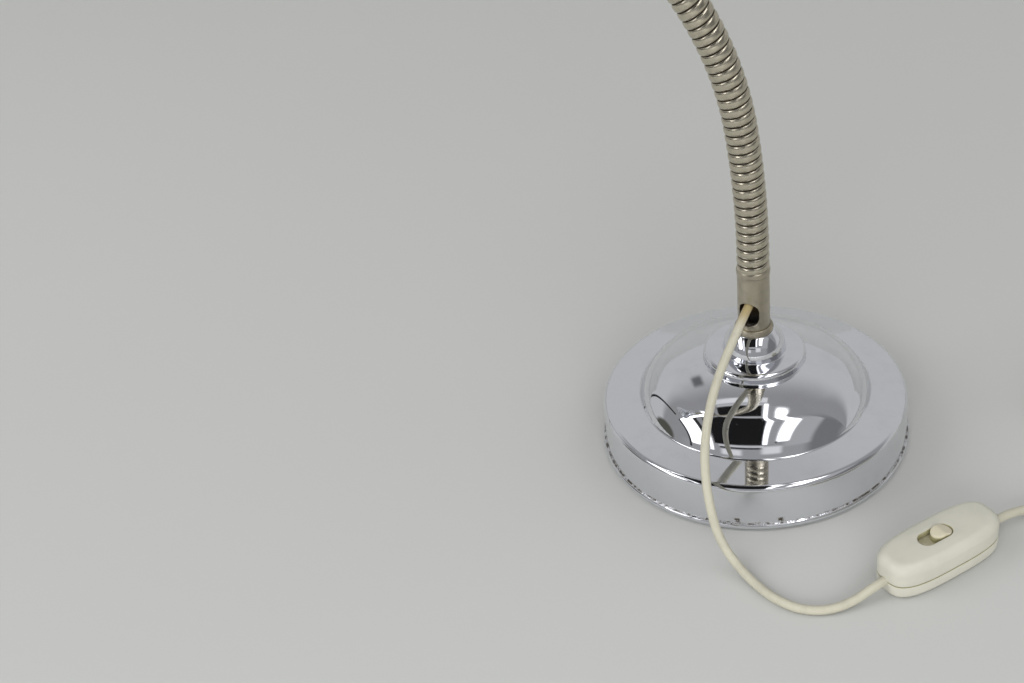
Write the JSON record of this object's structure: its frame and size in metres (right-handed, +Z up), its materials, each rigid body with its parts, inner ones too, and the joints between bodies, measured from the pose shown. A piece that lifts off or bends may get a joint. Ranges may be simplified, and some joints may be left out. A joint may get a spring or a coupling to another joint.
{
  "type": "desk lamp",
  "caption": "Gooseneck desk lamp: stepped round chrome base with cast weight, short neck tube, long flexible arm, bell shade with bulb, ivory cord with inline slide switch, flat plug.",
  "frame": {"origin": "on the table, under the middle of the round base", "axes": "+Z up, the gooseneck leans and the shade hangs towards -X, the cord leaves the neck towards -Y"},
  "size_m": [0.5814, 0.205, 0.3969],
  "materials": {
    "chromed_steel": "bright chrome plate with faint haze and a few fine scratches",
    "nickel_tube": "satin warm nickel plate",
    "nickel_wire": "smooth warm nickel plate on wound wire",
    "cast_weight": "rough casting",
    "plated_steel": "zinc plated",
    "foot_felt": "pressed felt",
    "ivory_cord": "smooth ivory sheath",
    "inner_wire": "matte sleeve",
    "ivory_plastic": "smooth moulding",
    "tie_band": "plain band",
    "dark_plastic": "moulded, fine texture",
    "porcelain": "glazed",
    "contact_brass": "plain",
    "bulb_metal": "spun, satin",
    "bulb_frost": "frosted inside"
  },
  "bodies": {
    "base": {"base_shell": "chromed_steel", "base_weight": "cast_weight", "closing_plate": "plated_steel", "closing_screws": "plated_steel", "foot_pad": "foot_felt", "clamp_stem": "plated_steel", "clamp_washer": "plated_steel", "clamp_nut": "plated_steel", "neck_collar": "nickel_tube", "neck_plug": "plated_steel", "neck_tube": "nickel_tube", "neck_top_ring": "nickel_tube", "neck_spigot": "plated_steel", "inner_flex": "inner_wire", "gooseneck_coil_00": "nickel_wire", "switch_lower": "ivory_plastic", "switch_upper": "ivory_plastic", "switch_screws": "plated_steel", "switch_contacts": "contact_brass", "switch_clamps": "contact_brass", "cord_lead": "ivory_cord", "cord_run": "ivory_cord", "cord_coil": "ivory_cord", "cord_tail": "ivory_cord", "cord_tie": "tie_band", "plug_body": "ivory_plastic", "plug_pins": "contact_brass"},
    "link_01": {"gooseneck_coil_01": "nickel_wire"},
    "link_02": {"gooseneck_coil_02": "nickel_wire"},
    "link_03": {"gooseneck_coil_03": "nickel_wire"},
    "link_04": {"gooseneck_coil_04": "nickel_wire"},
    "link_05": {"gooseneck_coil_05": "nickel_wire"},
    "link_06": {"gooseneck_coil_06": "nickel_wire"},
    "link_07": {"gooseneck_coil_07": "nickel_wire"},
    "link_08": {"gooseneck_coil_08": "nickel_wire"},
    "link_09": {"gooseneck_coil_09": "nickel_wire"},
    "link_10": {"gooseneck_coil_10": "nickel_wire"},
    "link_11": {"gooseneck_coil_11": "nickel_wire"},
    "link_12": {"gooseneck_coil_12": "nickel_wire"},
    "link_13": {"gooseneck_coil_13": "nickel_wire"},
    "link_14": {"gooseneck_coil_14": "nickel_wire"},
    "link_15": {"gooseneck_coil_15": "nickel_wire"},
    "link_16": {"gooseneck_coil_16": "nickel_wire"},
    "link_17": {"gooseneck_coil_17": "nickel_wire"},
    "link_18": {"gooseneck_coil_18": "nickel_wire"},
    "link_19": {"gooseneck_coil_19": "nickel_wire"},
    "head": {"gooseneck_coil_20": "nickel_wire", "arm_fitting": "nickel_tube", "shade": "chromed_steel", "holder_cap": "dark_plastic", "holder_skirt": "dark_plastic", "holder_insert": "porcelain", "holder_terminals": "contact_brass", "screw_shell": "contact_brass", "centre_contact": "contact_brass", "bulb_cap": "bulb_metal", "bulb_glass": "bulb_frost", "bulb_stem": "bulb_frost"},
    "switch_slider": {"switch_thumb": "ivory_plastic", "switch_bridge": "contact_brass"}
  },
  "joints": [
    {"name": "neck_bend_01", "type": "hinge", "parent": "base", "child": "link_01", "pos_m": [-0.00028, 0, 0.1191], "axis": [0.001, -1, 0], "range_deg": [-8, 5], "deforming": ["inner_flex"]},
    {"name": "neck_sway_01", "type": "hinge", "parent": "link_01", "child": "link_02", "pos_m": [-0.0014, 0, 0.13977], "axis": [0.9972, 0, 0.0747], "range_deg": [-8, 8], "deforming": ["inner_flex"]},
    {"name": "neck_bend_02", "type": "hinge", "parent": "link_02", "child": "link_03", "pos_m": [-0.00337, 0, 0.16037], "axis": [0.001, -1, 0], "range_deg": [-8, 5], "deforming": ["inner_flex"]},
    {"name": "neck_sway_02", "type": "hinge", "parent": "link_03", "child": "link_04", "pos_m": [-0.00651, 0, 0.18082], "axis": [0.9786, 0, 0.2058], "range_deg": [-8, 8], "deforming": ["inner_flex"]},
    {"name": "neck_bend_03", "type": "hinge", "parent": "link_04", "child": "link_05", "pos_m": [-0.01199, 0, 0.20077], "axis": [0.001, -1, 0], "range_deg": [-8, 5], "deforming": ["inner_flex"]},
    {"name": "neck_sway_03", "type": "hinge", "parent": "link_05", "child": "link_06", "pos_m": [-0.01986, 0, 0.2199], "axis": [0.9001, 0, 0.4357], "range_deg": [-8, 8], "deforming": ["inner_flex"]},
    {"name": "neck_bend_04", "type": "hinge", "parent": "link_06", "child": "link_07", "pos_m": [-0.02966, 0, 0.23813], "axis": [0.001, -1, 0], "range_deg": [-8, 5], "deforming": ["inner_flex"]},
    {"name": "neck_sway_04", "type": "hinge", "parent": "link_07", "child": "link_08", "pos_m": [-0.0397, 0, 0.25623], "axis": [0.8746, 0, 0.4848], "range_deg": [-8, 8], "deforming": ["inner_flex"]},
    {"name": "neck_bend_05", "type": "hinge", "parent": "link_08", "child": "link_09", "pos_m": [-0.04973, 0, 0.27434], "axis": [0.001, -1, 0], "range_deg": [-8, 5], "deforming": ["inner_flex"]},
    {"name": "neck_sway_05", "type": "hinge", "parent": "link_09", "child": "link_10", "pos_m": [-0.05977, 0, 0.29245], "axis": [0.8746, 0, 0.4848], "range_deg": [-8, 8], "deforming": ["inner_flex"]},
    {"name": "neck_bend_06", "type": "hinge", "parent": "link_10", "child": "link_11", "pos_m": [-0.0698, 0, 0.31055], "axis": [0.001, -1, 0], "range_deg": [-8, 5], "deforming": ["inner_flex"]},
    {"name": "neck_sway_06", "type": "hinge", "parent": "link_11", "child": "link_12", "pos_m": [-0.07984, 0, 0.32865], "axis": [0.8746, 0, 0.4848], "range_deg": [-8, 8], "deforming": ["inner_flex"]},
    {"name": "neck_bend_07", "type": "hinge", "parent": "link_12", "child": "link_13", "pos_m": [-0.08988, 0, 0.34675], "axis": [0.001, -1, 0], "range_deg": [-8, 5], "deforming": ["inner_flex"]},
    {"name": "neck_sway_07", "type": "hinge", "parent": "link_13", "child": "link_14", "pos_m": [-0.10231, 0, 0.36325], "axis": [0.7198, 0, 0.6942], "range_deg": [-8, 8], "deforming": ["inner_flex"]},
    {"name": "neck_bend_08", "type": "hinge", "parent": "link_14", "child": "link_15", "pos_m": [-0.11834, 0, 0.37626], "axis": [0.001, -1, 0], "range_deg": [-8, 5], "deforming": ["inner_flex"]},
    {"name": "neck_sway_08", "type": "hinge", "parent": "link_15", "child": "link_16", "pos_m": [-0.13704, 0, 0.38502], "axis": [0.3112, 0, 0.9503], "range_deg": [-8, 8], "deforming": ["inner_flex"]},
    {"name": "neck_bend_09", "type": "hinge", "parent": "link_16", "child": "link_17", "pos_m": [-0.1573, 0, 0.38901], "axis": [0.001, -1, 0], "range_deg": [-8, 5], "deforming": ["inner_flex"]},
    {"name": "neck_sway_09", "type": "hinge", "parent": "link_17", "child": "link_18", "pos_m": [-0.17792, 0, 0.38801], "axis": [-0.1698, 0, 0.9855], "range_deg": [-8, 8], "deforming": ["inner_flex"]},
    {"name": "neck_bend_10", "type": "hinge", "parent": "link_18", "child": "link_19", "pos_m": [-0.19769, 0, 0.38205], "axis": [0.001, -1, 0], "range_deg": [-8, 5], "deforming": ["inner_flex"]},
    {"name": "neck_sway_10", "type": "hinge", "parent": "link_19", "child": "head", "pos_m": [-0.2155, 0, 0.37159], "axis": [-0.5734, 0, 0.8193], "range_deg": [-8, 8], "deforming": ["inner_flex"]},
    {"name": "switch_slide", "type": "slide", "parent": "base", "child": "switch_slider", "axis": [-0.7902, -0.6129, 0], "range_m": [0, 0.0066]}
  ]
}
